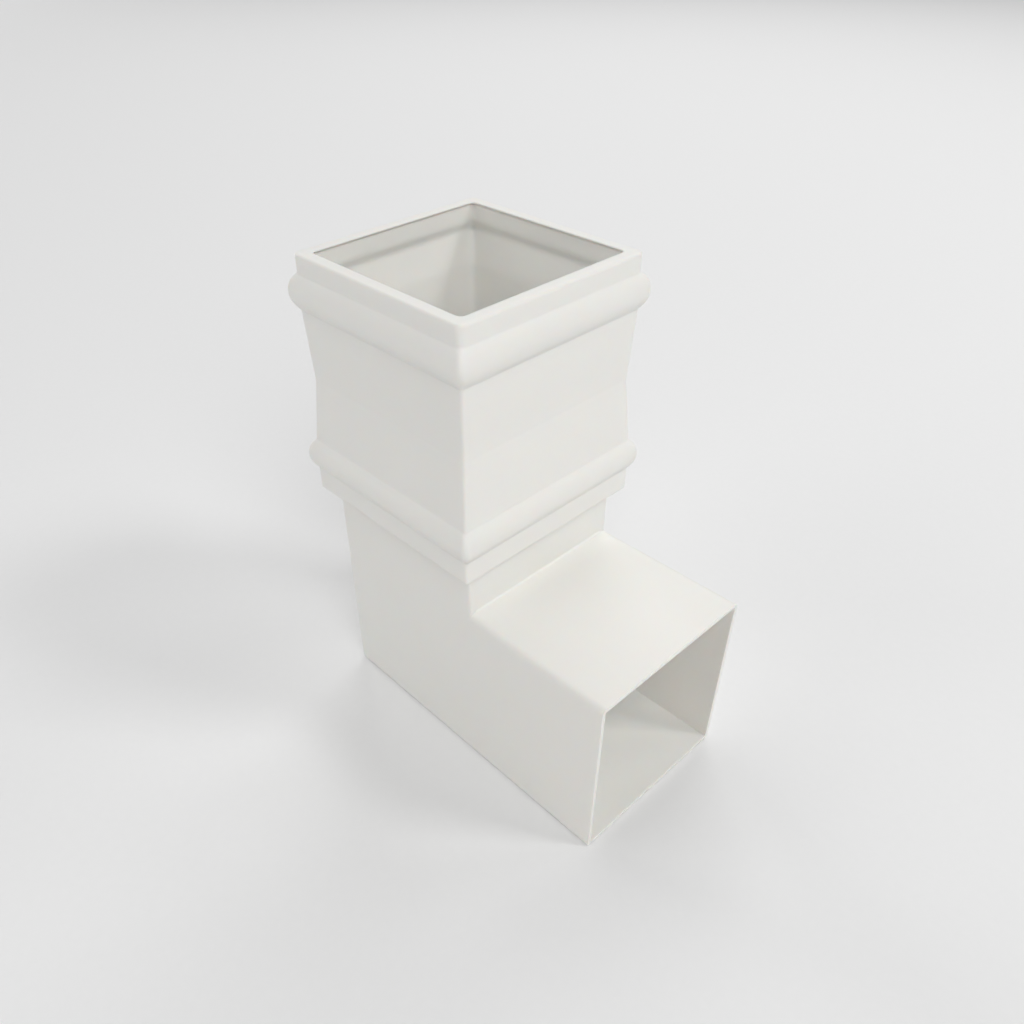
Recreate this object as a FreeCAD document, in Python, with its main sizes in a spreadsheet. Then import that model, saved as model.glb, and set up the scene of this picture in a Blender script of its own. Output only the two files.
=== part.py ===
import FreeCAD, Part
import os
import Sketcher
from FreeCAD import Vector

# White square downspout elbow, one moulded piece: a level arm, an upright leg and a beaded square socket.
# Frame: +Z up, the Z axis is the axis of the socket, +X runs along the arm, the flat underside is at zero.

NODE = "downspout_elbow"
TOUCH = 1e-3
SIDES = 4
QUARTER_TURN = 90
# how far along each axis the middle of a quarter arc lies, as a share of its radius
QUARTER_MIDDLE = 0.5 ** 0.5
# a cut that passes right through reaches this many times as far as what it cuts
THROUGH = 2

SIZES = {
    # the square downpipe that both ends take, and the wall round its bore
    "pipe_width": 65.0,
    "pipe_clearance": 0.5,
    "wall": 1.5,
    # the arm, from the axis of the socket to the open end, and how much each side draws in back to the heel
    "arm_reach": 92.0,
    "heel_draft": 1.1,
    # rounding of the upper edges of the arm, of the upright edges of the leg and of the foot
    "arm_radius": 2.4,
    "leg_radius": 1.0,
    "foot_radius": 1.0,
    # the small web inside the bend
    "throat_web": 0.6,
    # heights, each from the one before: arm to collar, lower bead, waist, upper bead and rim
    "leg_rise": 18.0,
    "lower_bead_rise": 14.1,
    "waist_rise": 28.4,
    "upper_bead_rise": 29.7,
    "rim_rise": 11.8,
    # how far the socket stands out from the leg, from the collar up
    "collar_out": 3.9,
    "skirt_out": 4.0,
    "waist_out": 1.6,
    "shoulder_out": 2.8,
    "lip_out": 2.65,
    # rounding of the upright corners of the socket, of its lip, of its mouth and of its hollow
    "socket_corner": 0.8,
    "lip_corner": 2.2,
    "mouth_corner": 1.8,
    "hollow_corner": 0.5,
    # the two round beads
    "lower_bead_out": 6.3,
    "lower_bead_radius": 7.5,
    "upper_bead_out": 5.15,
    "upper_bead_radius": 7.9,
    "bead_corner": 1.8,
    "bead_sink": 2.0,
    # rounding of the rim and of the lower edge of the collar
    "rim_radius": 0.8,
    "collar_radius": 0.5,
    # half the height over which the socket wall changes width behind a bead
    "tuck": 0.5,
    # the hollow of the socket: rim over a band, recess behind the bead, and a lead-in down to the seat
    "socket_wall": 2.8,
    "rim_overhang": 0.4,
    "rim_thickness": 0.5,
    "band_drop": 6.4,
    "band_slope": 2.4,
    "recess_depth": 1.2,
    "seat_drop": 20.4,
    "seat_clearance": 0.2,
    "funnel_rise": 4.0,
    # the ledge that stops the downpipe
    "stop_drop": 0.6,
    "stop_height": 2.0,
    "stop_width": 2.0,
}


def size(name):
    """The expression that names one cell of the sheet."""
    return f"sizes.{name}"


# Lines that several features share
BORE = f"({size('pipe_width')} / 2 + {size('pipe_clearance')})"
OUTSIDE = f"({BORE} + {size('wall')})"
ARM_TOP = f"(2 * {OUTSIDE})"
DRAFT = f"({size('heel_draft')} / ({size('arm_reach')} + {OUTSIDE}))"

# Levels, from the collar up to the rim
COLLAR_LEVEL = f"({ARM_TOP} + {size('leg_rise')})"
LOWER_BEAD_LEVEL = f"({COLLAR_LEVEL} + {size('lower_bead_rise')})"
WAIST_LEVEL = f"({LOWER_BEAD_LEVEL} + {size('waist_rise')})"
UPPER_BEAD_LEVEL = f"({WAIST_LEVEL} + {size('upper_bead_rise')})"
RIM_LEVEL = f"({UPPER_BEAD_LEVEL} + {size('rim_rise')})"
LEG_TOP = f"({COLLAR_LEVEL} + {size('socket_wall')})"

# Levels of the hollow
STOP_TOP = f"({COLLAR_LEVEL} - {size('stop_drop')})"
STOP_FOOT = f"({STOP_TOP} - {size('stop_height')})"
BAND_TOP = f"({RIM_LEVEL} - {size('rim_thickness')})"
BAND_FOOT = f"({RIM_LEVEL} - {size('band_drop')})"
RECESS_LEVEL = f"({BAND_FOOT} - {size('band_slope')})"
SEAT_LEVEL = f"({RIM_LEVEL} - {size('seat_drop')})"

# Half-widths of the socket, outside and inside
COLLAR, SKIRT, WAIST, SHOULDER, LIP = (
    f"({OUTSIDE} + {size(name)})"
    for name in ("collar_out", "skirt_out", "waist_out", "shoulder_out", "lip_out")
)
BAND = f"({BORE} + {size('rim_overhang')})"
RECESS = f"({BAND} + {size('recess_depth')})"
SEAT = f"({BORE} + {size('seat_clearance')})"

doc = FreeCAD.newDocument(NODE)
sheet = doc.addObject("Spreadsheet::Sheet", "sizes")
for row, (alias, value) in enumerate(SIZES.items(), 1):
    sheet.set(f"A{row}", alias)
    sheet.set(f"B{row}", str(value))
    sheet.setAlias(f"B{row}", alias)
doc.recompute()


def number(expression):
    """The present value of an expression, in millimetres."""
    return float(sheet.evalExpression(expression))


def same(first, second):
    """Whether two lengths are one length."""
    return abs(first - second) < TOUCH


def new_body(name):
    """A body at the origin of the frame."""
    body = doc.addObject("PartDesign::Body", name)
    body.Label = name
    body.Placement = FreeCAD.Placement()
    return body


def sketch_on(body, role, name, level="0"):
    """A sketch on an origin plane of a body, moved along the plane's normal by an expression."""
    sketch = body.newObject("Sketcher::SketchObject", name)
    plane = next(feature for feature in body.Origin.OriginFeatures if feature.Role == role)
    sketch.AttachmentSupport = (plane, [""])
    sketch.MapMode = "FlatFace"
    sketch.setExpression("AttachmentOffset.Base.z", level)
    return sketch


def bind(sketch, kind, where, expression):
    """Add a dimension to a sketch and let an expression drive it."""
    index = sketch.addConstraint(Sketcher.Constraint(kind, *where, number(expression)))
    sketch.renameConstraint(index, f"size{index}")
    sketch.setExpression(f"Constraints.size{index}", expression)


def draw_outline(sketch, corners):
    """Draw a closed straight-sided outline through corners given as pairs of expressions."""
    points = [Vector(number(across), number(up), 0) for across, up in corners]
    ends = points[1:] + points[:1]
    lines = [sketch.addGeometry(Part.LineSegment(*pair), False) for pair in zip(points, ends)]
    for line, following in zip(lines, lines[1:] + lines[:1]):
        sketch.addConstraint(Sketcher.Constraint("Coincident", line, 2, following, 1))
    for line, (across, up) in zip(lines, corners):
        bind(sketch, "DistanceX", (-1, 1, line, 1), across)
        bind(sketch, "DistanceY", (-1, 1, line, 1), up)


def draw_square(sketch, reach):
    """Draw a square with sharp corners round the origin, from its half-width."""
    back = f"-{reach}"
    draw_outline(sketch, [(back, back), (reach, back), (reach, reach), (back, reach)])


def draw_rounded_square(sketch, reach, corner):
    """Draw a square with rounded corners round the origin, from its half-width and corner radius."""
    flat = number(reach)
    straight = flat - number(corner)
    slant = straight + number(corner) * QUARTER_MIDDLE
    sides = []
    arcs = []
    for side in range(SIDES):
        turn = FreeCAD.Rotation(Vector(0, 0, 1), QUARTER_TURN * side)
        start, end, middle, after = (
            turn.multVec(point)
            for point in (
                Vector(flat, -straight, 0),
                Vector(flat, straight, 0),
                Vector(slant, slant, 0),
                Vector(straight, flat, 0),
            )
        )
        sides.append(sketch.addGeometry(Part.LineSegment(start, end), False))
        arcs.append(sketch.addGeometry(Part.Arc(end, middle, after), False))
    for side, arc, following in zip(sides, arcs, sides[1:] + sides[:1]):
        sketch.addConstraint(Sketcher.Constraint("Tangent", side, 2, arc, 1))
        sketch.addConstraint(Sketcher.Constraint("Tangent", arc, 2, following, 1))
    right, top, left, bottom = sides
    sketch.addConstraint(Sketcher.Constraint("Symmetric", right, 1, right, 2, -1))
    sketch.addConstraint(Sketcher.Constraint("Symmetric", top, 1, top, 2, -2))
    sketch.addConstraint(Sketcher.Constraint("Vertical", left))
    sketch.addConstraint(Sketcher.Constraint("Horizontal", bottom))
    sketch.addConstraint(Sketcher.Constraint("Equal", right, top))
    for arc in arcs[1:]:
        sketch.addConstraint(Sketcher.Constraint("Equal", arcs[0], arc))
    bind(sketch, "Radius", (arcs[0],), corner)
    bind(sketch, "DistanceX", (-1, 1, right, 1), reach)


def draw_barrel(sketch, crest, level, radius, root):
    """Draw a slab whose two sides bulge in an arc from the root out to the crest."""
    centre = f"({crest} - {radius})"
    middle = Vector(number(centre), number(level), 0)
    rise = (number(radius) ** 2 - (number(root) - middle.x) ** 2) ** 0.5
    low, high = (Vector(number(root), middle.y + step, 0) for step in (-rise, rise))
    tip = Vector(number(crest), middle.y, 0)
    mirrored = [Vector(-point.x, point.y, 0) for point in (high, tip, low)]
    right = sketch.addGeometry(Part.Arc(low, tip, high), False)
    top = sketch.addGeometry(Part.LineSegment(high, mirrored[0]), False)
    left = sketch.addGeometry(Part.Arc(*mirrored), False)
    bottom = sketch.addGeometry(Part.LineSegment(mirrored[-1], low), False)
    for first, first_end, second, second_end in (
        (right, 2, top, 1),
        (top, 2, left, 1),
        (left, 2, bottom, 1),
        (bottom, 2, right, 1),
    ):
        sketch.addConstraint(Sketcher.Constraint("Coincident", first, first_end, second, second_end))
    sketch.addConstraint(Sketcher.Constraint("Symmetric", top, 1, top, 2, -2))
    sketch.addConstraint(Sketcher.Constraint("Symmetric", bottom, 1, bottom, 2, -2))
    sketch.addConstraint(Sketcher.Constraint("Vertical", top, 1, bottom, 2))
    sketch.addConstraint(Sketcher.Constraint("Equal", right, left))
    bind(sketch, "Radius", (right,), radius)
    bind(sketch, "DistanceX", (-1, 1, right, 3), centre)
    bind(sketch, "DistanceY", (-1, 1, right, 3), level)
    bind(sketch, "DistanceX", (-1, 1, top, 1), root)


def extrude(body, kind, name, profile, length, side_type="One side"):
    """Pad or pocket a sketch by a length given as an expression."""
    feature = body.newObject(f"PartDesign::{kind}", name)
    feature.Profile = profile
    feature.SideType = side_type
    feature.setExpression("Length", length)
    doc.recompute()
    return feature


def loft(body, kind, name, sections):
    """Join rounded squares, given as level, half-width and corner radius, by straight walls."""
    sketches = []
    for index, (level, reach, corner) in enumerate(sections, 1):
        sketch = sketch_on(body, "XY_Plane", f"{name}_section_{index}", level)
        draw_rounded_square(sketch, reach, corner)
        sketches.append(sketch)
    doc.recompute()
    feature = body.newObject(f"PartDesign::{kind}", name)
    feature.Profile = sketches[0]
    feature.Sections = sketches[1:]
    feature.Ruled = True
    doc.recompute()
    return feature


def round_edges(body, name, base, chosen, radius):
    """Round the edges of a feature that pass the test chosen."""
    edges = [f"Edge{index}" for index, edge in enumerate(base.Shape.Edges, 1) if chosen(edge)]
    feature = body.newObject("PartDesign::Fillet", name)
    feature.Base = (base, edges)
    feature.setExpression("Radius", radius)
    doc.recompute()
    return feature


def barrel(name, crest, level, radius, root):
    """A square slab whose four sides bulge in an arc and meet at mitred corners."""
    body = new_body(name)
    front = sketch_on(body, "XZ_Plane", f"{name}_front")
    draw_barrel(front, crest, level, radius, root)
    doc.recompute()
    extrude(body, "Pad", f"{name}_slab", front, f"{THROUGH} * {crest}", "Symmetric")
    side = sketch_on(body, "YZ_Plane", f"{name}_side")
    draw_barrel(side, crest, level, radius, root)
    reach = f"({THROUGH} * {crest})"
    floor = f"{level} - {THROUGH} * {radius}"
    ceiling = f"{level} + {THROUGH} * {radius}"
    draw_outline(side, [(f"-{reach}", floor), (reach, floor), (reach, ceiling), (f"-{reach}", ceiling)])
    doc.recompute()
    mitred = extrude(body, "Pocket", f"{name}_mitre", side, f"{THROUGH} * {reach}", "Symmetric")
    return body, mitred


def drawn_in(reach, across):
    """Half the width of a drafted side at one place along the arm, from its half-width at the open end."""
    return f"({reach} - {DRAFT} * ({size('arm_reach')} - {across}))"


def drafted_block(body, name, reach, span, levels):
    """A block whose sides draw in towards the heel, given by its ends along the arm and its two levels."""
    start, end = span
    floor, top = levels
    plan = sketch_on(body, "XY_Plane", f"{name}_plan", floor)
    near, far = (drawn_in(reach, across) for across in span)
    draw_outline(plan, [(start, f"-{near}"), (end, f"-{far}"), (end, far), (start, near)])
    doc.recompute()
    return extrude(body, "Pad", name, plan, f"{top} - {floor}")


def combine(body, kind, name, tools):
    """Fuse other bodies with a body or cut them out of it."""
    feature = body.newObject("PartDesign::Boolean", name)
    feature.Type = kind
    feature.addObjects(tools)
    doc.recompute()
    return feature


def rising(edge):
    """The edges that rise from one level to another."""
    return edge.BoundBox.ZLength > TOUCH


def over_arm(edge):
    """The two long upper edges of the arm."""
    return same(edge.BoundBox.ZMin, number(ARM_TOP)) and edge.BoundBox.XLength > TOUCH


def on_foot(edge):
    """The edges of the underside, other than that of the open end."""
    return same(edge.BoundBox.ZMax, 0) and not same(edge.BoundBox.XMin, number(size("arm_reach")))


# Leg and arm, each with its own rounded edges
elbow = new_body(NODE)
outside = number(OUTSIDE)
leg = drafted_block(elbow, "leg", OUTSIDE, (f"-{OUTSIDE}", OUTSIDE), ("0", LEG_TOP))
round_edges(elbow, "leg_edges", leg, rising, size("leg_radius"))
arm = new_body("arm")
arm_block = drafted_block(arm, "arm_block", OUTSIDE, ("0", size("arm_reach")), ("0", ARM_TOP))
round_edges(arm, "arm_edges", arm_block, over_arm, size("arm_radius"))
joined = combine(elbow, "Fuse", "joined_arm", [arm])
round_edges(elbow, "foot", joined, on_foot, size("foot_radius"))

# Web across the inside of the bend, sunk into both walls
web = size("throat_web")
throat_profile = sketch_on(elbow, "XZ_Plane", "throat_profile")
draw_outline(
    throat_profile,
    [
        (f"({OUTSIDE} - {web})", f"({ARM_TOP} - {web})"),
        (f"({OUTSIDE} + {web})", ARM_TOP),
        (OUTSIDE, f"({ARM_TOP} + {web})"),
    ],
)
doc.recompute()
throat_width = f"2 * ({drawn_in(OUTSIDE, OUTSIDE)} - {size('arm_radius')})"
extrude(elbow, "Pad", "throat", throat_profile, throat_width, "Symmetric")

# Socket, from the collar up to the rim
corner = size("socket_corner")
lip_corner = size("lip_corner")
tuck = size("tuck")
socket = loft(
    elbow,
    "AdditiveLoft",
    "socket",
    [
        (COLLAR_LEVEL, COLLAR, corner),
        (f"{LOWER_BEAD_LEVEL} - {tuck}", COLLAR, corner),
        (f"{LOWER_BEAD_LEVEL} + {tuck}", SKIRT, corner),
        (WAIST_LEVEL, WAIST, corner),
        (f"{UPPER_BEAD_LEVEL} - {tuck}", SHOULDER, corner),
        (f"{UPPER_BEAD_LEVEL} + {tuck}", LIP, lip_corner),
        (RIM_LEVEL, LIP, lip_corner),
    ],
)


def on_rim(edge):
    """The outer edge of the rim."""
    return same(edge.BoundBox.ZMin, number(RIM_LEVEL))


def under_collar(edge):
    """The outer edge of the underside of the collar."""
    box = edge.BoundBox
    spread = max(box.XMax, box.YMax, -box.XMin, -box.YMin)
    return same(box.ZMax, number(COLLAR_LEVEL)) and spread > outside + TOUCH


rim = round_edges(elbow, "rim", socket, on_rim, size("rim_radius"))
round_edges(elbow, "collar", rim, under_collar, size("collar_radius"))

# The two round beads, with softened corners
beads = []
for bead, level, wall_line in (
    ("lower_bead", LOWER_BEAD_LEVEL, SKIRT),
    ("upper_bead", UPPER_BEAD_LEVEL, SHOULDER),
):
    crest = f"({OUTSIDE} + {size(f'{bead}_out')})"
    root = f"({wall_line} - {size('bead_sink')})"
    bead_body, mitred = barrel(bead, crest, level, size(f"{bead}_radius"), root)
    round_edges(bead_body, f"{bead}_corners", mitred, rising, size("bead_corner"))
    beads.append(bead_body)
combine(elbow, "Fuse", "beads", beads)

# Waterway of the leg and the arm, up to the ledge that stops the downpipe
core = new_body("core")
drafted_block(core, "leg_core", BORE, (f"-{BORE}", BORE), (size("wall"), STOP_FOOT))
arm_core_end = f"({size('arm_reach')} + {size('wall')})"
drafted_block(core, "arm_core", BORE, ("0", arm_core_end), (size("wall"), f"({ARM_TOP} - {size('wall')})"))
combine(elbow, "Cut", "waterway", [core])
stop_profile = sketch_on(elbow, "XY_Plane", "stop_profile", STOP_TOP)
draw_square(stop_profile, f"({BORE} - {size('stop_width')})")
doc.recompute()
extrude(elbow, "Pocket", "stop", stop_profile, f"{THROUGH} * {size('stop_height')}")

# Hollow of the socket, above the ledge
socket_wall = size("socket_wall")
hollow_corner = size("hollow_corner")
loft(
    elbow,
    "SubtractiveLoft",
    "hollow",
    [
        (STOP_TOP, BORE, hollow_corner),
        (LEG_TOP, BORE, hollow_corner),
        (f"{LEG_TOP} + {size('funnel_rise')}", f"({COLLAR} - {socket_wall})", hollow_corner),
        (LOWER_BEAD_LEVEL, f"({SKIRT} - {socket_wall})", hollow_corner),
        (WAIST_LEVEL, SEAT, hollow_corner),
        (SEAT_LEVEL, SEAT, hollow_corner),
        (RECESS_LEVEL, RECESS, hollow_corner),
    ],
)

# Mouth, with the band under the rim and the recess behind the upper bead
mouth_corner = size("mouth_corner")
loft(
    elbow,
    "SubtractiveLoft",
    "band",
    [
        (RECESS_LEVEL, RECESS, mouth_corner),
        (BAND_FOOT, BAND, mouth_corner),
        (BAND_TOP, BAND, mouth_corner),
    ],
)
mouth_profile = sketch_on(elbow, "XY_Plane", "mouth_profile", RIM_LEVEL)
draw_rounded_square(mouth_profile, BORE, mouth_corner)
doc.recompute()
extrude(elbow, "Pocket", "mouth", mouth_profile, f"{THROUGH} * {size('rim_thickness')}")

# Checks, then the part is written
for item in doc.Objects:
    faults = [state for state in item.State if state in ("Invalid", "Error")]
    if faults:
        raise RuntimeError(f"{item.Label}: {', '.join(faults)}")
    if hasattr(item, "Shape") and (item.Shape.isNull() or not item.Shape.isValid()):
        raise RuntimeError(f"{item.Label}: no valid shape")
if len(elbow.Shape.Solids) != 1:
    raise RuntimeError(f"{elbow.Label}: {len(elbow.Shape.Solids)} solids in one moulding")

os.makedirs("parts", exist_ok=True)
elbow.Shape.exportStep(f"parts/{elbow.Label}.step")
print(elbow.Label, round(elbow.Shape.Volume), elbow.Shape.BoundBox)
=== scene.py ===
"""A white square downspout elbow on a pale studio floor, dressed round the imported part."""

import logging
import math
from dataclasses import dataclass, field
from enum import Enum

import bmesh
import bpy
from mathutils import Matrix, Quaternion, Vector


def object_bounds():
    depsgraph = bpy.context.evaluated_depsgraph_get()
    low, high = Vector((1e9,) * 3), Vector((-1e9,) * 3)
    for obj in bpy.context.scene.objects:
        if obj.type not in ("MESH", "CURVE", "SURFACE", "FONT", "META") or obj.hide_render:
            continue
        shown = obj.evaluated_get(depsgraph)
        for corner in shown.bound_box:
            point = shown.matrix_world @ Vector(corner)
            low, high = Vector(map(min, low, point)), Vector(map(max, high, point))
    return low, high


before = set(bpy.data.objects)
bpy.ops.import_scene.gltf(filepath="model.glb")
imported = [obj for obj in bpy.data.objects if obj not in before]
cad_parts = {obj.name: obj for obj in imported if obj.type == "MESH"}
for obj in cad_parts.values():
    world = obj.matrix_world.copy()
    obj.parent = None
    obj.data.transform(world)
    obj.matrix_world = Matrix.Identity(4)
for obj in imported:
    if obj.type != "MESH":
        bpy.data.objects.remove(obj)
CAD_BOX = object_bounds()

MM = 0.001
NODE = "downspout_elbow"

log = logging.getLogger("downspout_elbow")


class Height(Enum):
    """The heights that the softboxes hang at, as degrees above the floor."""

    LOW = 14.0
    MIDDLE = 28.0
    HIGH = 43.0


def linear(hex_colour: str) -> tuple[float, float, float, float]:
    """Turn an sRGB hex colour into the linear colour that a shader takes, by the sRGB standard's own constants.

    Args:
        hex_colour: six hex digits, red first, with or without a leading hash.

    Returns:
        Linear red, green and blue with an alpha of one.
    """
    digits = hex_colour.lstrip("#")
    shares = [int(digits[place:place + 2], 16) / 255 for place in (0, 2, 4)]
    light = [s / 12.92 if s <= 0.04045 else ((s + 0.055) / 1.055) ** 2.4 for s in shares]
    return (*light, 1.0)


def outward(azimuth: float, elevation: float) -> Vector:
    """Give the direction from the elbow towards a light or a camera.

    Args:
        azimuth: degrees round the upright axis, counted from the front towards the open end of the arm.
        elevation: degrees above the floor.

    Returns:
        A vector one unit long.
    """
    turn = math.radians(azimuth)
    lift = math.radians(elevation)
    return Vector((math.sin(turn) * math.cos(lift), -math.cos(turn) * math.cos(lift), math.sin(lift)))


def add_node(
    tree: bpy.types.NodeTree,
    kind: str,
    settings: dict[str, object] | None = None,
    values: dict[str, object] | None = None,
    links: dict[str, bpy.types.NodeSocket] | None = None,
) -> bpy.types.Node:
    """Add one node with its settings, its constant inputs and its links.

    Args:
        tree: the node tree of the material or of the world.
        kind: the node's type name.
        settings: attributes of the node itself.
        values: constant inputs by the name of the socket.
        links: outputs of other nodes by the name of the socket that they feed.

    Returns:
        The new node.
    """
    node = tree.nodes.new(kind)
    for name, value in (settings or {}).items():
        setattr(node, name, value)
    for name, value in (values or {}).items():
        node.inputs[name].default_value = value
    for name, output in (links or {}).items():
        tree.links.new(output, node.inputs[name])
    return node


def add_noise(
    tree: bpy.types.NodeTree, place: bpy.types.NodeSocket, size: float, detail: float
) -> bpy.types.NodeSocket:
    """Add soft noise in the piece's own frame.

    Args:
        tree: the material's node tree.
        place: the place on the piece.
        size: how wide one patch of the noise is.
        detail: how many finer layers lie on it.

    Returns:
        The strength of the noise, from zero to one.
    """
    values = {"Scale": 1 / size, "Detail": detail}
    return add_node(tree, "ShaderNodeTexNoise", values=values, links={"Vector": place}).outputs["Fac"]


def add_tint(
    tree: bpy.types.NodeTree, share: bpy.types.NodeSocket, colours: tuple[str, str]
) -> bpy.types.NodeSocket:
    """Mix two colours.

    Args:
        tree: the material's node tree.
        share: how much of the second colour shows.
        colours: both colours as sRGB hex.

    Returns:
        The mixed colour.
    """
    tint = add_node(tree, "ShaderNodeMix", {"data_type": "RGBA"}, links={"Factor": share})
    for socket, colour in zip((socket for socket in tint.inputs if socket.type == "RGBA"), colours):
        socket.default_value = linear(colour)
    return next(socket for socket in tint.outputs if socket.type == "RGBA")


def empty_material(name: str) -> bpy.types.Material:
    """Make a material with an empty node tree."""
    material = bpy.data.materials.new(name)
    material.use_nodes = True
    material.node_tree.nodes.clear()
    return material


@dataclass(frozen=True)
class MouldedPvc:
    """Unplasticised PVC, white with titanium dioxide and moulded in a polished steel tool.

    It gives the eye a warm white with a broad satin sheen, and a surface that is even but for the faint
    cloudiness of the pigment and the soft unevenness of a moulded wall. Light strays about a millimetre into
    the plastic, so a thin wall is a little warmer and brighter on its dark side.
    """

    name: str = "white_pvc_u_moulded"
    colour: str = "#EFEEEA"
    cloud_colour: str = "#EDECE7"
    cloud_size: float = 28 * MM
    cloud_detail: float = 3.0
    ior: float = 1.53
    sleek: float = 0.50
    dull: float = 0.60
    sheen_patch: float = 9 * MM
    sheen_detail: float = 2.0
    stray_share: float = 0.35
    stray_depth: float = 1.2 * MM
    stray_by_colour: tuple[float, float, float] = (1.2, 0.8, 0.55)
    # the tool's own polish is far finer than a pixel, so its unevenness is drawn as coarse as it needs to show
    ripple_size: float = 2.5 * MM
    ripple_height: float = 0.006 * MM
    ripple_detail: float = 1.0
    # the tool leaves the pipe's edges crisp, the socket's rounder, and the recess behind the upper bead softest
    pipe_edge: float = 0.2 * MM
    socket_edge: float = 1.2 * MM
    recess_edge: float = 3.5 * MM
    rim_edge: float = 0.8 * MM
    edge_samples: int = 8
    pipe_top: float = 84 * MM
    socket_foot: float = 88 * MM
    band_middle: float = 167 * MM
    rim_foot: float = 169 * MM
    inner_wall: float = 35.0 * MM
    outer_wall: float = 35.4 * MM

    def edge_radius(self, tree: bpy.types.NodeTree, place: bpy.types.NodeSocket) -> bpy.types.NodeSocket:
        """Work out how round the edges look at each place on the elbow.

        Args:
            tree: the material's node tree.
            place: the place on the elbow, in its own frame.

        Returns:
            The radius, by the height of the place and by which side of the socket's wall it is on.
        """
        axes = add_node(tree, "ShaderNodeSeparateXYZ", links={"Vector": place}).outputs
        reach = add_node(tree, "ShaderNodeMath", {"operation": "MAXIMUM"})
        for axis, socket in zip("XY", reach.inputs):
            span = add_node(tree, "ShaderNodeMath", {"operation": "ABSOLUTE"}, links={"Value": axes[axis]})
            tree.links.new(span.outputs["Value"], socket)
        inside = add_node(
            tree,
            "ShaderNodeMapRange",
            values={
                "From Min": self.band_middle,
                "From Max": self.rim_foot,
                "To Min": self.recess_edge,
                "To Max": self.rim_edge,
            },
            links={"Value": axes["Z"]},
        )
        socket_wall = add_node(
            tree,
            "ShaderNodeMapRange",
            values={"From Min": self.inner_wall, "From Max": self.outer_wall, "To Max": self.socket_edge},
            links={"Value": reach.outputs["Value"], "To Min": inside.outputs["Result"]},
        )
        whole = add_node(
            tree,
            "ShaderNodeMapRange",
            values={"From Min": self.pipe_top, "From Max": self.socket_foot, "To Min": self.pipe_edge},
            links={"Value": axes["Z"], "To Max": socket_wall.outputs["Result"]},
        )
        return whole.outputs["Result"]

    def material(self) -> bpy.types.Material:
        """Build the material with its clouds, its uneven sheen, its ripple and its rounded edges."""
        material = empty_material(self.name)
        tree = material.node_tree
        place = add_node(tree, "ShaderNodeTexCoord").outputs["Object"]
        clouds = add_noise(tree, place, self.cloud_size, self.cloud_detail)
        patches = add_noise(tree, place, self.sheen_patch, self.sheen_detail)
        ripple = add_noise(tree, place, self.ripple_size, self.ripple_detail)
        roughness = add_node(
            tree,
            "ShaderNodeMapRange",
            values={"To Min": self.sleek, "To Max": self.dull},
            links={"Value": patches},
        )
        edges = add_node(
            tree,
            "ShaderNodeBevel",
            {"samples": self.edge_samples},
            links={"Radius": self.edge_radius(tree, place)},
        )
        bump = add_node(
            tree,
            "ShaderNodeBump",
            values={"Distance": self.ripple_height},
            links={"Height": ripple, "Normal": edges.outputs["Normal"]},
        )
        shader = add_node(
            tree,
            "ShaderNodeBsdfPrincipled",
            values={
                "IOR": self.ior,
                "Subsurface Weight": self.stray_share,
                "Subsurface Scale": self.stray_depth,
                "Subsurface Radius": self.stray_by_colour,
            },
            links={
                "Base Color": add_tint(tree, clouds, (self.colour, self.cloud_colour)),
                "Roughness": roughness.outputs["Result"],
                "Normal": bump.outputs["Normal"],
            },
        )
        add_node(tree, "ShaderNodeOutputMaterial", links={"Surface": shader.outputs["BSDF"]})
        return material


@dataclass(frozen=True)
class MattePaper:
    """Seamless backdrop paper, which gives the eye an even, pale grey-white with no sheen."""

    name: str = "matte_backdrop_paper"
    colour: str = "#EEEEEE"
    fibre_colour: str = "#ECECEC"
    fibre_size: float = 3 * MM
    fibre_detail: float = 2.0
    roughness: float = 0.9
    sheen: float = 0.0

    def material(self) -> bpy.types.Material:
        """Build the material with the faint clouding of the paper's fibres."""
        material = empty_material(self.name)
        tree = material.node_tree
        place = add_node(tree, "ShaderNodeTexCoord").outputs["Object"]
        fibres = add_noise(tree, place, self.fibre_size, self.fibre_detail)
        shader = add_node(
            tree,
            "ShaderNodeBsdfPrincipled",
            values={"Roughness": self.roughness, "Specular IOR Level": self.sheen},
            links={"Base Color": add_tint(tree, fibres, (self.colour, self.fibre_colour))},
        )
        add_node(tree, "ShaderNodeOutputMaterial", links={"Surface": shader.outputs["BSDF"]})
        return material


@dataclass
class Elbow:
    """The moulded elbow itself."""

    finish: MouldedPvc = field(default_factory=MouldedPvc)

    def dress(self) -> bpy.types.Object:
        """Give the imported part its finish."""
        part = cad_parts[NODE]
        part.data.materials.clear()
        part.data.materials.append(self.finish.material())
        log.info("%s dressed in %s", part.name, self.finish.name)
        return part


@dataclass(frozen=True)
class Softbox:
    """One square studio light, aimed at the middle of the elbow."""

    name: str
    azimuth: float
    height: Height
    distance: float
    power: float
    width_share: float = 2 / 3

    def build(self, target: Vector) -> bpy.types.Object:
        """Hang the light.

        Args:
            target: the point that the light faces.

        Returns:
            The light's object.
        """
        back = outward(self.azimuth, self.height.value)
        lamp = bpy.data.lights.new(self.name, "AREA")
        lamp.shape = "SQUARE"
        lamp.size = self.distance * self.width_share
        lamp.energy = self.power
        light = bpy.data.objects.new(self.name, lamp)
        light.location = target + back * self.distance
        light.rotation_mode = "QUATERNION"
        light.rotation_quaternion = back.to_track_quat("Z", "Y")
        bpy.context.scene.collection.objects.link(light)
        log.info("%s hung", self.name)
        return light


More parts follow.
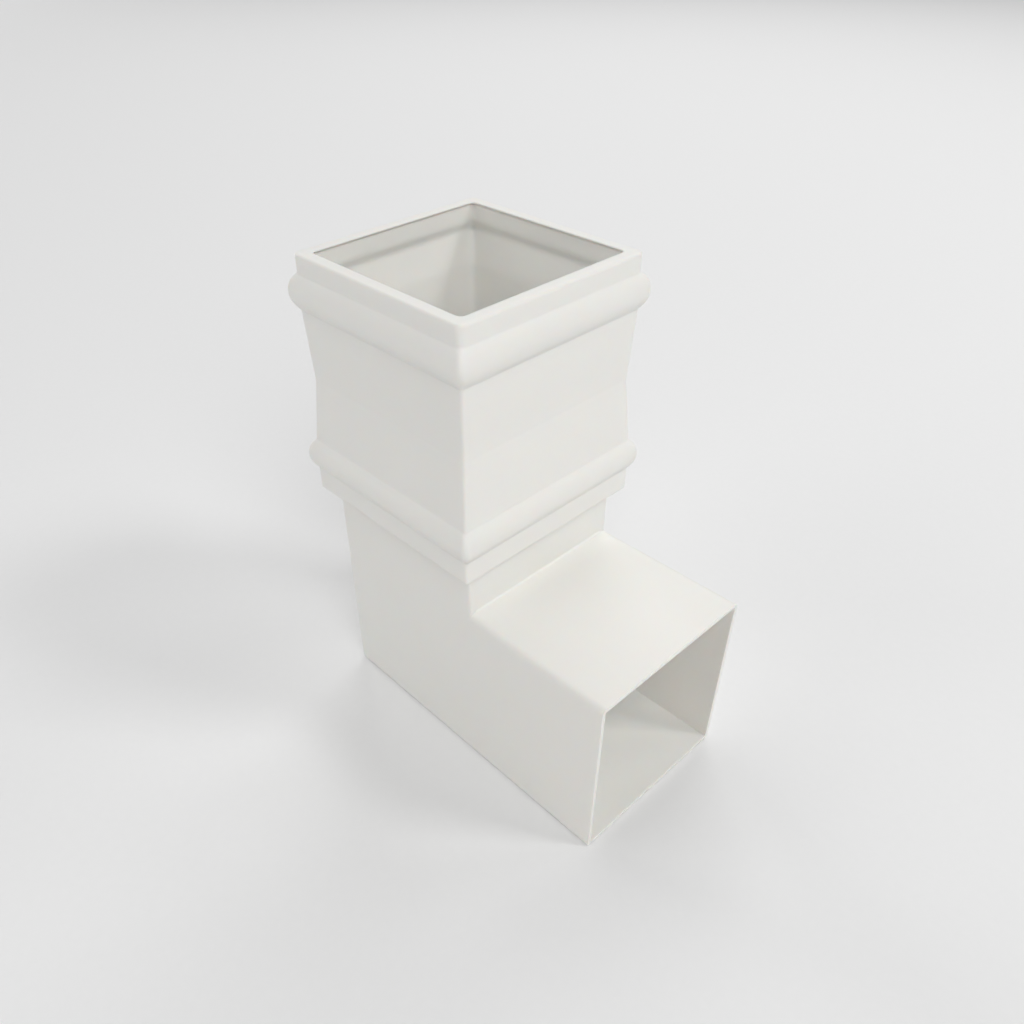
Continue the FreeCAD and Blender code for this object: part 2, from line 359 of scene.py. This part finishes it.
@dataclass
class Studio:
    """Floor, soft light and camera."""

    paper: MattePaper = field(default_factory=MattePaper)
    floor_width: float = 12.0
    floor_gap: float = 0.35 * MM
    sky_colour: str = "#FFFFFF"
    sky_strength: float = 0.1
    # the two small lights draw the shadows, and the wide ones fill them
    softboxes: tuple[Softbox, ...] = (
        Softbox("key_softbox", 123, Height.HIGH, 2.4, 13.5, width_share=0.21),
        Softbox("rim_softbox", 155, Height.HIGH, 2.4, 3.2, width_share=0.21),
        Softbox("front_softbox", 60, Height.HIGH, 3.6, 66.5),
        Softbox("back_softbox", 210, Height.HIGH, 2.4, 18.1),
        Softbox("side_softbox", 270, Height.LOW, 3.6, 40.7),
        Softbox("far_fill_softbox", 330, Height.MIDDLE, 3.6, 24.3),
    )
    eye: tuple[float, float, float] = (192.07 * MM, -175.00 * MM, 264.40 * MM)
    azimuth: float = 47.232
    elevation: float = 39.926
    roll: float = 1.027
    focal_length: float = 30.746
    sensor_width: float = 36.0
    shift: tuple[float, float] = (0.0315, 0.0590)
    nearest: float = 1 * MM

    def build(self) -> None:
        """Lay the floor, hang the lights and set up the camera."""
        self.lay_floor()
        self.light_up()
        self.place_camera()

    def lay_floor(self) -> bpy.types.Object:
        """Lay one wide sheet of backdrop paper just under the elbow."""
        sheet = bmesh.new()
        bmesh.ops.create_grid(sheet, x_segments=1, y_segments=1, size=self.floor_width / 2)
        bmesh.ops.translate(sheet, verts=sheet.verts, vec=(0, 0, -self.floor_gap))
        mesh = bpy.data.meshes.new("studio_floor")
        sheet.to_mesh(mesh)
        sheet.free()
        mesh.materials.append(self.paper.material())
        floor = bpy.data.objects.new("studio_floor", mesh)
        bpy.context.scene.collection.objects.link(floor)
        log.info("%s laid", floor.name)
        return floor

    def light_up(self) -> None:
        """Fill the room with even light and hang the softboxes."""
        world = bpy.data.worlds.new("studio_room")
        world.use_nodes = True
        world.node_tree.nodes.clear()
        sky = add_node(
            world.node_tree,
            "ShaderNodeBackground",
            values={"Color": linear(self.sky_colour), "Strength": self.sky_strength},
        )
        add_node(world.node_tree, "ShaderNodeOutputWorld", links={"Surface": sky.outputs["Background"]})
        bpy.context.scene.world = world
        low, high = CAD_BOX
        for softbox in self.softboxes:
            softbox.build((low + high) / 2)

    def place_camera(self) -> bpy.types.Object:
        """Set the camera where the photograph was taken from."""
        lens = bpy.data.cameras.new("studio_camera")
        lens.sensor_width = self.sensor_width
        lens.lens = self.focal_length
        lens.shift_x, lens.shift_y = self.shift
        lens.clip_start = self.nearest
        lens.clip_end = 2 * self.floor_width
        camera = bpy.data.objects.new("studio_camera", lens)
        upright = outward(self.azimuth, self.elevation).to_track_quat("Z", "Y")
        camera.location = self.eye
        camera.rotation_mode = "QUATERNION"
        camera.rotation_quaternion = upright @ Quaternion((0, 0, 1), -math.radians(self.roll))
        bpy.context.scene.collection.objects.link(camera)
        bpy.context.scene.camera = camera
        bpy.context.scene.view_settings.view_transform = "Standard"
        log.info("%s placed", camera.name)
        return camera


def main() -> None:
    """Dress the elbow and set up the studio."""
    logging.basicConfig(level=logging.INFO, format="%(name)s: %(message)s")
    Elbow().dress()
    Studio().build()


if __name__ == "__main__":
    main()
